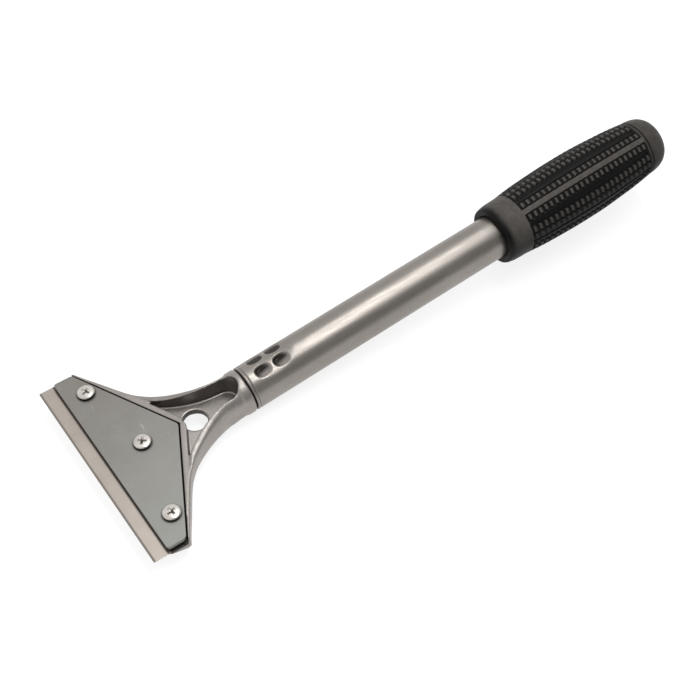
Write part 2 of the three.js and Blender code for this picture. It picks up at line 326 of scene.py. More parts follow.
# %% [markdown]
# ## The head: die-cast aluminium
# A die casting has no sharp corners: metal flows round small fillets, and the tumbled skin is
# satin with fine pits.  The frame's solid has the right form but crisp corners.  We copy it,
# rebuild it as an even skin of small quads (a voxel remesh), and relax that skin a little, so
# every corner rounds over as it does in the mould.

# %% Cast aluminium
def cast_aluminium():
    finish, tree, shader, place = new_finish("cast_aluminium")
    cloud = noise(tree, place, 60.0, 5.0)
    grain = noise(tree, place, 900.0, 6.0, 0.65)
    flow = noise(tree, stretched(tree, place, (40.0, 160.0, 90.0)), 3.0, 4.0)
    tone = ramp(tree, cloud, [(0.3, (0.33, 0.302, 0.283)), (0.7, (0.4, 0.371, 0.346))])
    speckle = ramp(tree, grain, [(0.35, (0.78, 0.78, 0.78)), (0.6, (1.0, 1.0, 1.0))])
    skin = mixed(tree, 0.55, tone, speckle, "MULTIPLY")
    tree.links.new(shade_painted(tree, skin, 0.16), shader.inputs["Base Color"])
    tree.links.new(ramp(tree, flow, [(0.3, (0.36,)), (0.75, (0.48,))]), shader.inputs["Roughness"])
    pits = relief(tree, grain, 0.35, 0.00006)
    tree.links.new(relief(tree, flow, 0.25, 0.0002, pits), shader.inputs["Normal"])
    shader.inputs["Metallic"].default_value = 0.9
    return finish


# %% [markdown]
# ## The head's painted shade
# The casting's colour is darkened where shade falls: on the pocket's steep walls, inside the hole,
# and in the slot behind the clamp plate.  All but the pocket floor is also dimmed a little, so the
# floor reads lighter as painted light.  So each point gets a number from 0, unshaded, to 1, dark,
# from where it lies and which way it faces.
# The same could be painted by hand, but a rule stays right when the mesh changes.

# %% Where painted shade goes on the head
PLATE_SLOPE = (PLATE_APEX - PLATE_END) / PLATE_HALF
POCKET_X = (34.0, 38.0, 41.5, 47.0, 52.0, 58.0, 63.0, 70.5)
POCKET_HALF = (19.5, 16.2, 13.8, 11.2, 9.2, 7.9, 7.4, 6.0)
POCKET_MARGIN = 0.9
SLOT_WIDTH = 0.6
WALL_SHADE = 0.72
SHADE_OFF_FLOOR = 0.15


def casting_painted_shade(points, normals):
    """How much painted shade each point gets: pocket walls, hole and slot are dark, and all but the
    pocket floor is dimmed a little.
    """
    x, y, z = points.T
    upward = normals[:, 2]
    steep = 1.0 - soft_step(np.abs(upward), 0.3, 0.75)
    inward = np.maximum(-np.sign(y) * normals[:, 1], -normals[:, 0])

    pocket_half = np.interp(x, POCKET_X, POCKET_HALF) + POCKET_MARGIN
    beside = soft_step(pocket_half - np.abs(y), 0.0, 0.5)
    lengthwise = soft_step(x, 33.0, 35.0) * (1 - soft_step(x, 70.3, 71.2))
    pocket = beside * lengthwise * soft_step(z, -1.6, -0.8)
    fading = 1.0 - 0.45 * soft_step(z, 5.5, 9.5)
    wall = pocket * steep * soft_step(inward, 0.1, 0.45) * fading

    hole_x, hole_radius = HANG_HOLE
    from_hole = np.hypot(x - hole_x, y)
    hole = steep * (1.0 - soft_step(from_hole, hole_radius + 0.35, hole_radius + 0.85))

    behind = (x - PLATE_APEX + PLATE_SLOPE * np.abs(y)) / math.hypot(1.0, PLATE_SLOPE)
    in_slot = 1.0 - soft_step(behind, SLOT_WIDTH, SLOT_WIDTH + 0.25)
    below_plate_top = (1.0 - soft_step(z, 2.2, 3.0)) * soft_step(z, -0.6, -0.3)

    # painted light: the pocket floor is left undimmed, so it reads lighter than the rest of the casting
    floor = beside * soft_step(upward, 0.75, 0.95) * (1.0 - soft_step(z, 1.5, 2.5))
    painted_light_weight = SHADE_OFF_FLOOR * (1.0 - floor)
    shade_amount = np.maximum.reduce([WALL_SHADE * wall, hole, in_slot * below_plate_top, painted_light_weight])
    return np.clip(shade_amount, 0.0, 1.0)


# %% [markdown]
# ## The head's skin
# The voxel remesh gives quads of one size everywhere, and a few smoothing passes round each
# corner a little, which stands for the fillet of the casting.  Smaller voxels would keep more of
# the corner and take more memory.

# %% The head casting
VOXEL = 0.33 * MM
RELAXING_PASSES = 7
SPIGOT_THINNING = 0.3


def slim_spigot(points):
    """Deep crimps need room, so the spigot hidden in the tube is drawn a little thinner."""
    from_start = points - AXIS_START
    along = from_start @ AXIS_ALONG
    on_axis = AXIS_START + along[:, None] * AXIS_ALONG
    slimmer = 1.0 - SPIGOT_THINNING * soft_step(along, TUBE_START + 1.0, TUBE_START + 3.0)
    return on_axis + (points - on_axis) * slimmer[:, None]


def head_casting():
    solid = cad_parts["head_casting"].data.copy()
    head = add_piece("head_casting_skin", solid, "handle", "cast_aluminium", "head_casting")
    remesh = head.modifiers.new("even_skin", "REMESH")
    remesh.mode = "VOXEL"
    remesh.voxel_size = VOXEL
    relax = head.modifiers.new("round_corners", "SMOOTH")
    relax.factor = 0.5
    relax.iterations = RELAXING_PASSES
    settle(head)
    head.data.polygons.foreach_set("use_smooth", [True] * len(head.data.polygons))
    points = slim_spigot(to_head(read_points(head.data)))
    head.data.vertices.foreach_set("co", to_frame(points).ravel())
    store(head.data, "painted_shade", casting_painted_shade(points, read_points(head.data, "normal")))
    head.data.materials.clear()
    head.data.materials.append(cast_aluminium())
    return head


head = head_casting()
print("casting skin:", len(head.data.polygons), "faces")

# %% [markdown]
# ## The clamp plate: pressed steel
# The plate is cut from sheet, so its outline is five-sided with small corner radii, and its top
# edge is slightly rounded where the press turned it over.  The outline is drawn once, the screw
# holes are cut by a boolean, and a bevel rounds the edges.

# %% Plated steel for the clamp plate
def screw_shadow_rings(tree, place):
    """A painted shadow ring close round each screw head."""
    flat = stretched(tree, place, (1.0, 1.0, 0.0))
    nearest = 1.0
    for x, y in SCREWS.values():
        centre = to_frame([x, y, 0.0])
        reach = tree.nodes.new("ShaderNodeVectorMath")
        reach.operation = "DISTANCE"
        reach.inputs[1].default_value = (centre[0], centre[1], 0.0)
        tree.links.new(flat, reach.inputs[0])
        nearest = sum_of(tree, "MINIMUM", reach.outputs["Value"], nearest)
    centimetres = sum_of(tree, "MULTIPLY", nearest, 100.0)
    return ramp(tree, centimetres, [(0.4, (0.6,)), (0.47, (0.0,))])


def plate_steel():
    finish, tree, shader, place = new_finish("plate_steel")
    cloud = noise(tree, place, 45.0, 5.0)
    brushed = noise(tree, stretched(tree, place, (900.0, 60.0, 60.0)), 4.0, 5.0)
    speck = noise(tree, place, 1500.0, 3.0)
    # painted reflection: the plate's colour runs from warm to cool across its length, standing in for a
    # reflected gradient
    reflection_sweep = sum_of(tree, "MULTIPLY_ADD", part_of(tree, place, "Y"), -7.0, 0.45)
    warm = ramp(tree, cloud, [(0.3, (0.222, 0.206, 0.188)), (0.7, (0.252, 0.238, 0.218))])
    cool = ramp(tree, cloud, [(0.3, (0.25, 0.252, 0.236)), (0.7, (0.29, 0.296, 0.28))])
    tone = mixed(tree, reflection_sweep, warm, cool)
    grain = ramp(tree, brushed, [(0.3, (0.88, 0.88, 0.88)), (0.7, (1.0, 1.0, 1.0))])
    skin = mixed(tree, 0.5, tone, grain, "MULTIPLY")
    rubs = noise(tree, stretched(tree, place, (700.0, 90.0, 90.0), (0.0, 0.0, 0.55)), 1.0, 3.0)
    scratch = ramp(tree, rubs, [(0.66, (0.0,)), (0.74, (0.6,))])
    scratched = mixed(tree, scratch, skin, (0.42, 0.41, 0.385, 1.0))
    shadow_ringed = mixed(tree, screw_shadow_rings(tree, place), scratched, (0.03, 0.028, 0.024, 1.0))
    tree.links.new(shade_painted(tree, shadow_ringed, 0.08), shader.inputs["Base Color"])
    tree.links.new(ramp(tree, cloud, [(0.3, (0.4,)), (0.7, (0.52,))]), shader.inputs["Roughness"])
    fine = relief(tree, speck, 0.15, 0.00003)
    tree.links.new(relief(tree, brushed, 0.12, 0.00004, fine), shader.inputs["Normal"])
    shader.inputs["Metallic"].default_value = 0.92
    return finish


# %% [markdown]
# ## Cutting the plate
# A flat part needs no modelling by hand.  An outline is pulled up into a slab, a second slab is
# the drill, and a boolean takes the drill out of the first.  A short curve at each corner stands
# for the radius that any press tool leaves.

# %% The clamp plate
SCREW_HOLE = 2.2
PLATE_CORNER = 1.1
ROLLED_EDGE = 0.32


def rounded_outline(corners, radius, steps=6):
    """A closed outline whose corners are turned with short arcs."""
    points = []
    for k, here in enumerate(corners):
        here = np.array(here, float)
        before = np.array(corners[k - 1], float) - here
        after = np.array(corners[(k + 1) % len(corners)], float) - here
        start = here + before / np.linalg.norm(before) * radius
        end = here + after / np.linalg.norm(after) * radius
        for t in np.linspace(0.0, 1.0, steps):
            points.append((1 - t) ** 2 * start + 2 * t * (1 - t) * here + t ** 2 * end)
    return points


def slab(name, outline, low, high):
    """A flat solid between two heights."""
    count = len(outline)
    points = [(*p, z) for z in (low, high) for p in outline]
    faces = [tuple(range(count)), tuple(range(count, 2 * count))]
    mesh = bpy.data.meshes.new(name)
    sides = [(j, (j + 1) % count, count + (j + 1) % count, count + j) for j in range(count)]
    mesh.from_pydata([tuple(p) for p in to_frame(points)], [], faces + sides)
    face_outwards(mesh)
    return mesh


def cut(piece, tool_mesh):
    """Takes a tool's shape out of a piece."""
    tool = bpy.data.objects.new("tool", tool_mesh)
    bpy.context.scene.collection.objects.link(tool)
    modifier = piece.modifiers.new("cut", "BOOLEAN")
    modifier.object = tool
    modifier.solver = "EXACT"
    settle(piece)
    bpy.data.objects.remove(tool)


def clamp_plate():
    corners = [
        (PLATE_FRONT, -PLATE_HALF), (PLATE_END, -PLATE_HALF), (PLATE_APEX, 0.0),
        (PLATE_END, PLATE_HALF), (PLATE_FRONT, PLATE_HALF),
    ]
    outline = rounded_outline(corners, PLATE_CORNER)
    mesh = slab("clamp_plate_pressed", outline, PLATE_BOTTOM, PLATE_TOP)
    plate = add_piece("clamp_plate_pressed", mesh, "clamp", "plate_steel", "clamp_plate")
    for x, y in SCREWS.values():
        turns = np.linspace(0.0, 2 * math.pi, 48, endpoint=False)
        ring = [(x + SCREW_HOLE * math.cos(a), y + SCREW_HOLE * math.sin(a)) for a in turns]
        cut(plate, slab("drill", ring, PLATE_BOTTOM - 1, PLATE_TOP + 1))
    bevel = plate.modifiers.new("rolled_edge", "BEVEL")
    bevel.width = ROLLED_EDGE * MM
    bevel.segments = 3
    bevel.limit_method = "ANGLE"
    bevel.angle_limit = math.radians(40)
    settle(plate)
    for face in plate.data.polygons:
        face.use_smooth = abs(face.normal.z) < 0.99 and face.area < 5 * MM * MM
    # painted shade: the lower part of the plate's edge faces is darkened, except at its short ends
    places = to_head(read_points(plate.data))
    low = 1.0 - soft_step(places[:, 2], PLATE_BOTTOM + 0.9, PLATE_TOP - 0.3)
    at_the_ends = soft_step(np.abs(places[:, 1]), PLATE_HALF - 0.7, PLATE_HALF - 0.3)
    store(plate.data, "painted_shade", low * (1.0 - 0.85 * at_the_ends))
    plate.data.materials.append(plate_steel())
    return plate


plate = clamp_plate()
print("clamp plate:", len(plate.data.polygons), "faces")

# %% [markdown]
# ## The blade: a ground steel strip
# Both long faces meet in a fine ground edge.  The grinding leaves hair-fine lines across the
# bevel, while the flat of the strip is smoother and slightly straw-coloured from its oil.

# %% Blade steel
def blade_steel():
    finish, tree, shader, place = new_finish("blade_steel")
    cloud = noise(tree, place, 35.0, 4.0)
    lines = noise(tree, stretched(tree, place, (25.0, 2600.0, 25.0)), 1.0, 3.0)
    tone = ramp(tree, cloud, [(0.3, (0.38, 0.338, 0.3)), (0.7, (0.48, 0.43, 0.387))])
    grain = ramp(tree, lines, [(0.3, (0.9, 0.9, 0.9)), (0.7, (1.0, 1.0, 1.0))])
    skin = mixed(tree, 0.5, tone, grain, "MULTIPLY")
    x = part_of(tree, place, "X")
    centimetres = sum_of(tree, "MULTIPLY_ADD", x, 100.0, -100.0 * blade_low.x)
    # painted shadow: a dark line across the blade just in front of and under the plate's front edge
    gap_shadow_stops = [(0.585, (0.0,)), (0.65, (0.85,)), (0.72, (0.85,)), (0.8, (0.0,))]
    gap_shadow = ramp(tree, centimetres, gap_shadow_stops)
    ground = shade_painted(tree, skin, 0.5)
    gap_shaded = mixed(tree, gap_shadow, ground, (0.05, 0.04, 0.032, 1.0))
    tree.links.new(gap_shaded, shader.inputs["Base Color"])
    tree.links.new(ramp(tree, cloud, [(0.3, (0.3,)), (0.7, (0.4,))]), shader.inputs["Roughness"])
    tree.links.new(relief(tree, lines, 0.1, 0.00003), shader.inputs["Normal"])
    shader.inputs["Metallic"].default_value = 0.95
    return finish


# %% [markdown]
# ## Drawing the blade
# One section, seen from the blade's end, is repeated four times along its length: the inner two
# are full size, and the outer two a little smaller, so the ends look sheared.  The back corners
# are notched afterwards, with the same slab and cut helpers as the plate.

# %% The blade
BEVEL = 0.8        # width of the ground edge
NOTCH_START = 7.6  # each back corner is notched from here
NOTCH = 1.6
END_ROUNDING = 0.12


def blade():
    length, depth, thickness = (1000 * (high - low) for low, high in (
        (blade_low.y, blade_high.y), (blade_low.x, blade_high.x), (blade_low.z, blade_high.z)))
    half = thickness / 2
    middle = BLADE_BOTTOM + half
    section = [
        (0.0, 0.02), (0.05, 0.05), (BEVEL, half - 0.02), (BEVEL + 0.15, half),
        (depth - 0.08, half), (depth, half - 0.08),
    ]
    section += [(x, -z) for x, z in reversed(section)]
    ends = [-length / 2, END_ROUNDING - length / 2, length / 2 - END_ROUNDING, length / 2]
    rows = []
    for k, y in enumerate(ends):
        inset = 0.08 if k in (0, 3) else 0.0
        rows.append([
            (x + inset * (1 if x < 1 else 0), y, middle + z * (1 - inset)) for x, z in section
        ])
    rows = np.array(rows)
    columns = rows.shape[1]
    faces = [tuple(f) for f in grid_faces(len(ends), columns)]
    last = (len(ends) - 1) * columns
    faces += [tuple(range(columns)), tuple(range(last, last + columns))]
    mesh = mesh_from("blade_ground", to_frame(rows.reshape(-1, 3)), faces, smooth=False)
    strip = add_piece("blade_ground", mesh, "blade_strip", "blade_steel", "blade")
    for side in (-1, 1):
        inner, outer = side * (length / 2 - NOTCH), side * length
        corners = [
            (NOTCH_START, inner), (2 * depth, inner), (2 * depth, outer), (NOTCH_START, outer),
        ]
        cut(strip, slab("notch", corners, -1.0, 2.0))
    for face in strip.data.polygons:
        face.use_smooth = False
    # painted shade: the ground bevel is darkened
    from_edge = to_head(read_points(strip.data))[:, 0]
    store(strip.data, "painted_shade", 1.0 - soft_step(from_edge, BEVEL - 0.1, BEVEL + 0.15))
    strip.data.materials.append(blade_steel())
    return strip


strip = blade()
print("blade:", [round(1000 * v, 2) for v in strip.dimensions])

# %% [markdown]
# ## The screws: bright pan heads
# Each screw is turned from a half profile: a domed head with a rolled shoulder, and a shank
# whose radius rises and falls along a helix to make the thread.  The cross recess is cut last,
# by two tapering blades.

# %% Bright plated steel
def screw_steel():
    finish, tree, shader, place = new_finish("screw_steel")
    cloud = noise(tree, place, 300.0, 4.0)
    scuffs = noise(tree, stretched(tree, place, (500.0, 2500.0, 700.0)), 1.0, 4.0)
    tone = ramp(tree, cloud, [(0.3, (0.5, 0.475, 0.435)), (0.7, (0.66, 0.63, 0.585))])
    tree.links.new(shade_painted(tree, tone, 0.07), shader.inputs["Base Color"])
    tree.links.new(ramp(tree, scuffs, [(0.35, (0.24,)), (0.7, (0.38,))]), shader.inputs["Roughness"])
    tree.links.new(relief(tree, scuffs, 0.12, 0.00003), shader.inputs["Normal"])
    shader.inputs["Metallic"].default_value = 0.95
    return finish


# %% [markdown]
# ## Turning a screw
# The rings of points are stacked from the tip to the crown, as if the screw were on a lathe.  The
# thread is only a radius that depends on height and angle together.  Two wings of a cutting
# tool, one across the other, make the cross recess, and a split at sharp edges keeps its rim
# crisp while the dome stays smooth.

# %% The three screws
HEAD_UNDER = 3.4
HEAD_TOP = 4.9
HEAD_RADIUS = 3.8
SHANK_RADIUS = 1.85
SHANK_TIP = -5.2
PITCH = 0.7
THREAD_DEPTH = 0.4
SHOULDER = 0.6     # height of the head's upright side
CROWN = 0.014      # how fast the dome falls away from its middle
CROWN_RADIUS = 2.4
SCREW_SIDES = 72
DRIVER = (         # height, half length and half width of the recess's wings
    (HEAD_TOP + 0.4, 2.5, 0.7),
    (HEAD_TOP - 0.5, 1.5, 0.36),
    (HEAD_TOP - 0.9, 0.4, 0.2),
)


def screw_head_profile():
    """Radius and height pairs from under the head to its crown."""
    side_top = HEAD_UNDER + SHOULDER
    side = [(HEAD_RADIUS - 0.12, HEAD_UNDER), (HEAD_RADIUS, HEAD_UNDER + 0.12), (HEAD_RADIUS, side_top)]
    shoulder = []
    for angle in np.linspace(0.1, math.pi / 2 - 0.12, 7):
        radius = HEAD_RADIUS - 1.1 * (1 - math.cos(angle))
        shoulder.append((radius, side_top + 0.74 * math.sin(angle)))
    crown = [(r, HEAD_TOP - CROWN * r * r) for r in (CROWN_RADIUS, 1.8, 1.2, 0.6, 0.15)]
    return side + shoulder + crown


def screw_rings(angles):
    """Radius and height of each ring of points, from the shank's tip to the crown."""
    sides = len(angles)
    rings = []
    for z in np.arange(SHANK_TIP, HEAD_UNDER - 0.6, PITCH / 7):
        wave = np.abs(((z / PITCH - angles / (2 * math.pi)) % 1.0) * 2 - 1)
        taper = min(1.0, 0.72 + (z - SHANK_TIP) / 1.6)
        rings.append(((SHANK_RADIUS - THREAD_DEPTH + THREAD_DEPTH * wave) * taper, z))
    rings.append((np.full(sides, SHANK_RADIUS - 0.2), HEAD_UNDER - 0.3))
    rings.append((np.full(sides, SHANK_RADIUS - 0.05), HEAD_UNDER))
    rings += [(np.full(sides, r), z) for r, z in screw_head_profile()]
    return rings


def driver_wing(x, y, turn):
    """One tapering wing of the cross recess, as a cutting tool."""
    c, s = math.cos(turn), math.sin(turn)
    points = []
    for z, reach, width in DRIVER:
        for a, b in ((reach, width), (-reach, width), (-reach, -width), (reach, -width)):
            points.append((x + a * c - b * s, y + a * s + b * c, z))
    faces = [tuple(f) for f in grid_faces(3, 4)] + [(0, 1, 2, 3), (8, 9, 10, 11)]
    return mesh_from("driver", to_frame(points), faces, smooth=False)


def screw_painted_shade(places, x, y):
    """Painted shade round the foot of the head and a little in the recess."""
    height = places[:, 2]
    rim = 1.0 - soft_step(height, HEAD_UNDER + 0.6, HEAD_UNDER + 1.0)
    inside = np.hypot(places[:, 0] - x, places[:, 1] - y) < CROWN_RADIUS + 0.2
    lip = HEAD_TOP - CROWN * CROWN_RADIUS ** 2
    recess = np.where(inside, 0.25 * (1.0 - soft_step(height, lip - 0.9, lip - 0.05)), 0.0)
    return np.maximum(rim, recess)


def screw(body, node, x, y, finish, turn):
    angles = np.linspace(0.0, 2 * math.pi, SCREW_SIDES, endpoint=False)
    rings = screw_rings(angles)
    rows = np.array([
        np.stack([x + r * np.cos(angles), y + r * np.sin(angles), np.full(SCREW_SIDES, z)], axis=1)
        for r, z in rings
    ])
    faces = [tuple(f) for f in grid_faces(len(rings), SCREW_SIDES)]
    last = (len(rings) - 1) * SCREW_SIDES
    faces += [tuple(range(SCREW_SIDES)), tuple(range(last, last + SCREW_SIDES))]
    mesh = mesh_from(node + "_turned", to_frame(rows.reshape(-1, 3)), faces)
    piece = add_piece(node + "_turned", mesh, body, "screw_steel", node)
    for wing in (0.0, math.pi / 2):
        cut(piece, driver_wing(x, y, turn + wing))
    piece.data.polygons.foreach_set("use_smooth", [True] * len(piece.data.polygons))
    sharp = piece.modifiers.new("crisp", "EDGE_SPLIT")
    sharp.split_angle = math.radians(38)
    settle(piece)
    store(piece.data, "painted_shade", screw_painted_shade(to_head(read_points(piece.data)), x, y))
    piece.data.materials.clear()
    piece.data.materials.append(finish)
    return piece


bright = screw_steel()
for body, node, turn in (
        ("left_screw", "screw_left", 0.5),
        ("middle_screw", "screw_center", 0.9),
        ("right_screw", "screw_right", 0.25)):
    made = screw(body, node, *SCREWS[body], bright, turn)
    print(made.name, len(made.data.polygons), "faces")

# %% [markdown]
# ## The handle tube: satin plated steel
# The tube is drawn as rows of points round the handle.  Four punches on top, and four below,
# press its wall into the casting: each pit has steep sides and a soft rim, and the wall between
# them is drawn down a little flat.  The end next to the head is cut square with a rolled lip.

# %% Satin plated steel
def tube_steel():
    finish, tree, shader, place = new_finish("tube_steel")
    cloud = noise(tree, stretched(tree, place, (30.0, 30.0, 30.0)), 1.2, 4.0)
    lengthwise = stretched(tree, place, (25.0, 700.0, 700.0), (0.0, -TILT, 0.0))
    drawn = noise(tree, lengthwise, 1.0, 4.0)
    sparkle = noise(tree, place, 1700.0, 3.0, 0.7)
    tone = ramp(tree, cloud, [(0.3, (0.262, 0.24, 0.218)), (0.7, (0.31, 0.287, 0.262))])
    glint = ramp(tree, sparkle, [(0.35, (0.76, 0.76, 0.76)), (0.65, (1.0, 1.0, 1.0))])
    skin = mixed(tree, 0.6, tone, glint, "MULTIPLY")
    tree.links.new(shade_painted(tree, skin, 0.22), shader.inputs["Base Color"])
    tree.links.new(ramp(tree, drawn, [(0.3, (0.31,)), (0.7, (0.42,))]), shader.inputs["Roughness"])
    grain = relief(tree, sparkle, 0.3, 0.00004)
    tree.links.new(relief(tree, drawn, 0.06, 0.00005, grain), shader.inputs["Normal"])
    shader.inputs["Metallic"].default_value = 0.95
    return finish


# %% [markdown]
# ## Pressing the crimps
# A punch leaves a pit that is deepest near the middle of the tube's top and rises away from it.
# One function says how far the wall is pressed in at any place, and both the outside and the
# inside of the tube follow it, so the wall keeps its thickness.  A sculpted pit would look as
# good, but a function can be moved and deepened by changing a number.

# %% The tube
WALL = 1.2
TUBE_SIDES = 240
PIT_STATIONS = (81.4, 90.6)
PIT_ANGLE = math.radians(25.0)   # from the pits' middle line
PIT_TURN = math.radians(-7.0)    # of that line from the tube's top
PIT_HALF_LENGTH = 4.2
PIT_HALF_WIDTH = 3.5
PIT_DEPTH = 1.35
PIT_SQUARENESS = 2.4
FLAT_DEPTH = 0.42
LIP = {  # how far each station near the tube's end lies inside its radius
    72.62: 0.42, 72.75: 0.12, 73.1: 0.0, 73.6: 0.0, 73.8: 0.2, 73.95: 0.28, 74.1: 0.2, 74.3: 0.0,
}


def crimp_depth(along, angle):
    """How far the wall is pressed in, in millimetres."""
    off_top = np.abs((angle - PIT_TURN + math.pi) % (2 * math.pi) - math.pi)
    round_way = np.minimum(off_top, math.pi - off_top)
    middle = sum(PIT_STATIONS) / 2
    flat = np.hypot((along - middle) / 13.0, round_way * TUBE_RADIUS / 9.5)
    depth = FLAT_DEPTH * soft_step(1.0 - flat, 0.0, 0.45)
    below = (round_way - PIT_ANGLE) * TUBE_RADIUS / PIT_HALF_WIDTH
    for station in PIT_STATIONS:
        beyond = (along - station) / PIT_HALF_LENGTH
        squares = np.abs(beyond) ** PIT_SQUARENESS + np.abs(below) ** PIT_SQUARENESS
        reach = squares ** (1 / PIT_SQUARENESS)
        floor = PIT_DEPTH - 1.0 * below - 0.45 * beyond
        depth = depth + floor * soft_step(1.0 - reach, 0.0, 0.42 + 0.2 * below)
    return depth


def tube_painted_shade(station, angles, pressed):
    """Painted shade in the lip's groove and in the pits, and more so on the side turned away."""
    near_side = soft_step(np.sin(angles - PIT_TURN), -0.2, 0.2)
    pits = soft_step(pressed, 0.35 + 0.45 * near_side, 1.1 + 1.2 * near_side)
    return np.clip(1.8 * LIP.get(station, 0.0) + 1.1 * pits, 0.0, 1.0)


def handle_tube():
    angles = np.linspace(0.0, 2 * math.pi, TUBE_SIDES, endpoint=False)
    crimped = np.arange(75.0, 98.0, 0.22)
    outside = [*LIP, 74.6, *crimped, 98.5, 105.0, 150.0, 200.0, TUBE_END]
    rows, painted_shade = [], []
    for s in outside:
        pressed = crimp_depth(s, angles)
        rows.append(around_handle(s, angles, TUBE_RADIUS - LIP.get(s, 0.0) - pressed))
        painted_shade.append(tube_painted_shade(s, angles, pressed))
    for s in reversed(outside):
        rows.append(around_handle(s, angles, TUBE_RADIUS - WALL - crimp_depth(s, angles)))
        # painted shade: the inside of the tube is fully darkened
        painted_shade.append(np.ones(TUBE_SIDES))
    rows = np.array(rows)
    faces = [tuple(f) for f in grid_faces(len(rows), TUBE_SIDES)]
    last = (len(rows) - 1) * TUBE_SIDES
    for j in range(TUBE_SIDES):
        k = (j + 1) % TUBE_SIDES
        faces.append((last + j, last + k, k, j))
    mesh = mesh_from("handle_tube_drawn", to_frame(rows.reshape(-1, 3)), faces)
    store(mesh, "painted_shade", painted_shade)
    tube = add_piece("handle_tube_drawn", mesh, "handle", "tube_steel", "handle_tube")
    tube.data.materials.append(tube_steel())
    return tube


tube = handle_tube()
print("tube:", len(tube.data.polygons), "faces")

# %% [markdown]
# ## The grip: moulded black rubber
# The sleeve swells towards the palm.  Its relief follows one rule round the handle: a smooth
# raised rib with a row of short cross bars on each side, then a wide smooth strip, then a double
# row of bars, and so on.  A fine grid of points is pushed in and out by that rule, so the bars
# are real shape.  The same rule is stored on the mesh, and the finish uses it for a painted
# highlight, so the tops on the lit side are paler than the grooves.

# %% Black rubber
def grip_rubber():
    finish, tree, shader, place = new_finish("grip_rubber")
    skin = noise(tree, place, 2200.0, 4.0, 0.6)
    cloud = noise(tree, place, 90.0, 4.0)
    deep = ramp(tree, cloud, [(0.3, (0.001, 0.001, 0.001)), (0.7, (0.0025, 0.0023, 0.002))])
    patches = noise(tree, place, 380.0, 3.0)
    # painted highlight colour, mixed in where the mesh stores it
    highlight_tone = ramp(tree, patches, [(0.3, (0.058, 0.052, 0.047)), (0.68, (0.085, 0.077, 0.07))])
    tree.links.new(mixed(tree, stored(tree, "painted_highlight"), deep, highlight_tone), shader.inputs["Base Color"])
    tree.links.new(ramp(tree, skin, [(0.3, (0.42,)), (0.7, (0.58,))]), shader.inputs["Roughness"])
    tree.links.new(relief(tree, skin, 0.3, 0.00006), shader.inputs["Normal"])
    shader.inputs["Specular IOR Level"].default_value = 0.14
    return finish


# %% [markdown]
# ## Moulding the grip
# The outline gives the radius along the handle, with a smooth curve through a few chosen
# points.  The relief takes away from it: everything that is not a rib, a bar or a wide strip lies
# deeper.  The bars' front edges and the tops on the lit side are stored as painted highlight.

# %% The grip
GRIP_OUTLINE = [  # distance along the handle, and radius
    (207.5, 12.7), (207.6, 13.2), (208.0, 13.6), (209.0, 13.9), (218.5, 14.6), (224.0, 15.2),
    (229.0, 15.6), (234.0, 15.85), (240.0, 16.1), (246.0, 16.3), (254.0, 16.38), (263.0, 16.3),
    (271.0, 15.93), (276.5, 15.57), (282.0, 15.22), (287.0, 14.77), (292.0, 14.17),
    (295.2, 13.82), (297.8, 13.6), (300.4, 13.05), (302.7, 11.95), (304.5, 10.1), (305.6, 7.4),
    (306.05, 3.9), (306.15, 1.1),
]
GRIP_BORE = (     # the same for the hole the tube goes in, from its mouth inwards
    (GRIP_START + 0.15, 12.2), (GRIP_START, 10.9), (GRIP_START + 0.3, 10.5), (TUBE_END + 0.3, 10.5),
)
GRIP_WIDEST = 16.39
GRIP_TIP = 306.18
BARS_START = 220.6
BARS_END = 292.6
BAR_COUNT = 24
GROOVE = 294.3
RELIEF_DEPTH = 1.15


FIRST_RIB = math.radians(27.0)
SECTOR = math.pi / 4  # from a rib to the next double row
LIT_FROM = math.radians(6.0)


def grip_relief(along, angle, radius):
    """How far the surface lies below its outline, in millimetres, and how much painted highlight it
    gets, 0 to 1.
    """
    pitch = (BARS_END - BARS_START) / BAR_COUNT
    inside = soft_step(along, BARS_START - 1.0, BARS_START)
    inside = inside * (1 - soft_step(along, BARS_END, BARS_END + 0.6))
    phase = ((along - BARS_START) / pitch) % 1.0
    bar = soft_step(0.5 - np.abs(phase - 0.5), 0.13, 0.3)

    sector = np.round((angle - FIRST_RIB) / SECTOR)
    off = np.abs(angle - FIRST_RIB - sector * SECTOR) * radius
    double = (sector.astype(int) % 2) == 1
    rib = np.where(double, 0.0, 1 - soft_step(off, 1.15, 1.55))
    row = 1 - soft_step(np.abs(off - np.where(double, 2.0, 3.25)), 1.1, 1.6)
    strip = soft_step(off, 4.9, 5.5)
    raised = np.maximum(np.maximum(rib, row * bar), 0.45 * strip)

    cap = soft_step(along, BARS_END, GROOVE)
    ring = np.exp(-((along - GROOVE) / 0.45) ** 2)
    # painted highlight on the smooth collar and cap, with painted shade on the collar's front face and
    # in the groove
    smooth = (0.95 - 0.25 * cap) * soft_step(along, 208.6, 212.0) * (1 - inside) * (1 - ring)
    # painted light: the side turned up to the lamp takes the highlight, the underside stays dark
    painted_light_weight = 0.1 + 0.9 * soft_step(np.cos(angle - LIT_FROM), 0.1, 0.85)
    # painted highlight: a narrow pale band near each bar's front edge
    bar_highlight = 0.25 + 1.1 * np.exp(-((phase - 0.36) / 0.13) ** 2)
    lit_tops = inside * painted_light_weight * np.maximum(rib, row * bar * bar_highlight)
    return RELIEF_DEPTH * inside * (1 - raised) + 0.7 * ring, lit_tops + (0.12 + 0.88 * painted_light_weight) * smooth


def smooth_radius(stations, outline):
    """The outline's radius at each station, on a curve that runs smoothly through its points."""
    known = np.array(outline)
    slopes = np.gradient(known[:, 1], known[:, 0])
    k = np.clip(np.searchsorted(known[:, 0], stations, side="right") - 1, 0, len(known) - 2)
    span = known[k + 1, 0] - known[k, 0]
    t = (stations - known[k, 0]) / span
    return ((2 * t**3 - 3 * t**2 + 1) * known[k, 1] + (t**3 - 2 * t**2 + t) * span * slopes[k]
            + (-2 * t**3 + 3 * t**2) * known[k + 1, 1] + (t**3 - t**2) * span * slopes[k + 1])


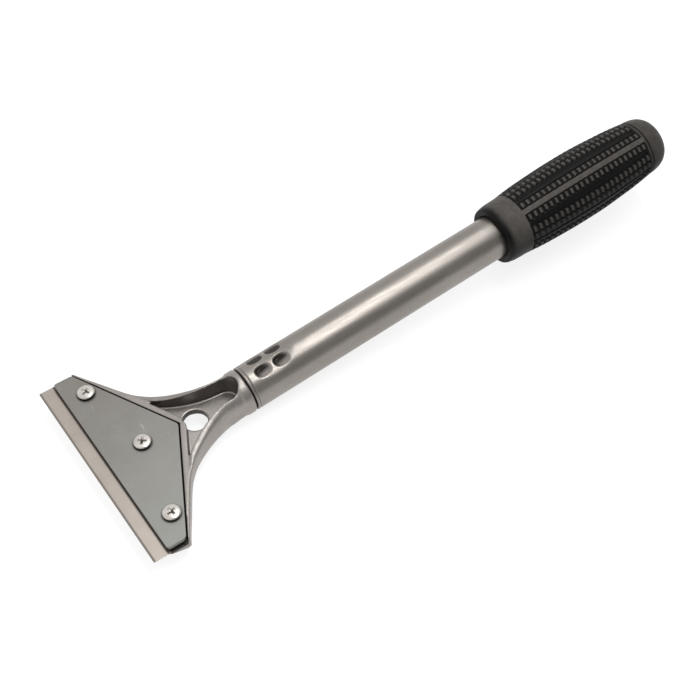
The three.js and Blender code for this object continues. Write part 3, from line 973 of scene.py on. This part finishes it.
def grip():
    sides = 480
    angles = np.linspace(0.0, 2 * math.pi, sides, endpoint=False)
    step = 0.27
    stations = np.concatenate([
        [207.5, 207.55, 207.7, 208.0, 208.4, 209.0, 211.0, 214.0, 217.0, 219.0],
        np.arange(219.3, 295.6, step),
        np.linspace(296.0, 301.5, 10), np.linspace(301.9, 306.1, 18),
    ])
    outline = np.minimum(smooth_radius(stations, GRIP_OUTLINE), GRIP_WIDEST)
    rows, painted_highlight = [], []
    for s, r in zip(stations, outline):
        down, high = grip_relief(s, angles, r)
        rows.append(around_handle(s, angles, r - down))
        painted_highlight.append(high)
    rows.append(around_handle(GRIP_TIP, angles, 0.2))
    painted_highlight.append(np.full(sides, 0.4))
    for s, r in GRIP_BORE:
        rows.insert(0, around_handle(s, angles, r))
        painted_highlight.insert(0, np.zeros(sides))
    rows = np.array(rows)
    faces = [tuple(f) for f in grid_faces(len(rows), sides)]
    last = (len(rows) - 1) * sides
    faces += [tuple(range(sides)), tuple(range(last, last + sides))]
    mesh = mesh_from("grip_moulded", to_frame(rows.reshape(-1, 3)), faces)
    store(mesh, "painted_highlight", painted_highlight)
    sleeve = add_piece("grip_moulded", mesh, "handle", "grip_rubber", "grip")
    sleeve.data.materials.append(grip_rubber())
    return sleeve


sleeve = grip()
print("grip:", len(sleeve.data.polygons), "faces")

# %% [markdown]
# ## Floor and light
# A plain pale floor that glows softly, like a light table, keeps the shadows faint.  One long
# soft box hangs overhead.  Bare metal shows its surroundings more than its own colour, so the
# box's place and width decide where the bright band on the tube runs, and the grey side of the
# room makes the dark band beside it.

# %% Floor
FLOOR_GLOW = 0.78


def pale_floor():
    finish, tree, shader, place = new_finish("pale_floor")
    drift = noise(tree, place, 2.0, 2.0)
    tone = ramp(tree, drift, [(0.3, (0.3, 0.3, 0.3)), (0.7, (0.32, 0.32, 0.32))])
    tree.links.new(tone, shader.inputs["Base Color"])
    shader.inputs["Emission Color"].default_value = (1.0, 1.0, 1.0, 1.0)
    shader.inputs["Emission Strength"].default_value = FLOOR_GLOW
    shader.inputs["Roughness"].default_value = 0.9
    shader.inputs["Specular IOR Level"].default_value = 0.0
    return finish


HALF_FLOOR = 6.0
floor_corners = [(HALF_FLOOR * a, HALF_FLOOR * b, 0.0) for a, b in ((-1, -1), (1, -1), (1, 1), (-1, 1))]
floor_mesh = bpy.data.meshes.new("floor")
floor_mesh.from_pydata(floor_corners, [], [(0, 1, 2, 3)])
floor_mesh.materials.append(pale_floor())
floor = bpy.data.objects.new("floor", floor_mesh)
bpy.context.scene.collection.objects.link(floor)

# %% [markdown]
# ## The lamp and the room
# A lamp's size sets how soft its shadow is, and its reflection on bare metal is what the eye
# takes for the lamp.  The room is only a colour that depends on direction: pale all round, and
# grey towards one side.

# %% Lights
def soft_box(name, place, aim, width, height, power):
    """A rectangular lamp that faces a point."""
    lamp = bpy.data.lights.new(name, "AREA")
    lamp.shape = "RECTANGLE"
    lamp.size = width
    lamp.size_y = height
    lamp.energy = power
    box = bpy.data.objects.new(name, lamp)
    box.location = place
    box.rotation_euler = (Vector(place) - Vector(aim)).to_track_quat("Z", "Y").to_euler()
    bpy.context.scene.collection.objects.link(box)
    return box


soft_box("key_box", (0.25, -0.04, 1.25), (0.0, 0.0, 0.02), 1.1, 0.29, 7.6)

WORLD_STRENGTH = 0.95
DARK_SIDE = (0.28, -0.92, 0.26)  # the direction in which the room is darkest
DARKEST = 0.36


def studio_world():
    """Even pale surroundings that fall off to grey on the side the viewer stands on."""
    world = bpy.data.worlds.new("studio")
    world.use_nodes = True
    tree = world.node_tree
    place = tree.nodes.new("ShaderNodeTexCoord")
    toward = tree.nodes.new("ShaderNodeVectorMath")
    toward.operation = "DOT_PRODUCT"
    toward.inputs[1].default_value = DARK_SIDE
    tree.links.new(place.outputs["Generated"], toward.inputs[0])
    grey = ramp(tree, toward.outputs["Value"], [(0.3, (1.0, 1.0, 1.0)), (0.9, (DARKEST,) * 3)])
    back_light = tree.nodes["Background"]
    tree.links.new(grey, back_light.inputs["Color"])
    back_light.inputs["Strength"].default_value = WORLD_STRENGTH
    bpy.context.scene.world = world


studio_world()
bpy.context.scene.view_settings.view_transform = "Standard"
